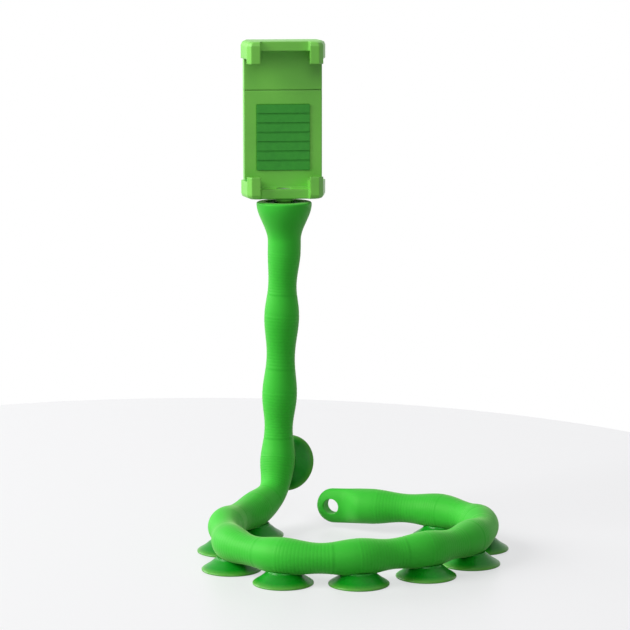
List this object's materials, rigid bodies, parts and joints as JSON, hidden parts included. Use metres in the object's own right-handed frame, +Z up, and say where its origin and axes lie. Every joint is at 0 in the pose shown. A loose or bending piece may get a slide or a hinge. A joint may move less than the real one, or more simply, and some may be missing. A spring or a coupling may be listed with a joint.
{
  "type": "flexible phone holder",
  "caption": "Bendable bulged soft arm coiled into a base on suction cups, with an upright stem, a ball joint and a spring clamp with hooked jaws for a phone.",
  "frame": {"origin": "centre of the bounding box at the level of the suction cup rims", "axes": "+Z up along the stem, -Y towards the viewer and the side where the phone is held, +X to the right of the clamp seen from the front"},
  "size_m": [0.1485, 0.1517, 0.2391],
  "materials": {
    "soft_skin": "satin, finely ribbed between the bulges",
    "cup": "glossy, slightly translucent",
    "clamp_plastic": "satin moulded",
    "dark_plastic": "moulded",
    "liner": "smooth",
    "steel": "turned",
    "wire": "drawn",
    "pad": "matt"
  },
  "bodies": {
    "arm": {"arm_sleeve": "soft_skin", "core_wire": "wire", "head_insert": "dark_plastic", "socket_ring": "dark_plastic", "suction_cup_01": "cup", "suction_cup_02": "cup", "suction_cup_03": "cup", "suction_cup_04": "cup", "suction_cup_05": "cup", "suction_cup_06": "cup", "suction_cup_07": "cup", "suction_cup_08": "cup", "suction_cup_09": "cup", "suction_cup_10": "cup"},
    "ball_seat": {"ball_liner": "liner"},
    "clamp": {"ball_stud": "clamp_plastic", "stud_screw": "steel", "clamp_housing": "clamp_plastic", "clamp_cover": "clamp_plastic", "cover_screws": "steel", "jaw_spring_left": "wire", "jaw_spring_right": "wire", "back_pad": "pad", "lower_pad_left": "pad", "lower_pad_right": "pad"},
    "jaw": {"upper_jaw": "clamp_plastic", "upper_pad_left": "pad", "upper_pad_right": "pad"}
  },
  "joints": [
    {"name": "clamp_swivel", "type": "hinge", "parent": "arm", "child": "ball_seat", "pos_m": [-0.027, 0.06, 0.1545], "axis": [0, 0, 1], "continuous": true},
    {"name": "clamp_tilt", "type": "hinge", "parent": "ball_seat", "child": "clamp", "pos_m": [-0.027, 0.06, 0.1545], "axis": [1, 0, 0], "range_deg": [-8, 8]},
    {"name": "jaw_slide", "type": "slide", "parent": "clamp", "child": "jaw", "axis": [0, 0, 1], "range_m": [0, 0.0264], "stiffness_N_per_m": 150, "springref_m": -0.03, "deforming": ["jaw_spring_left", "jaw_spring_right"]}
  ]
}
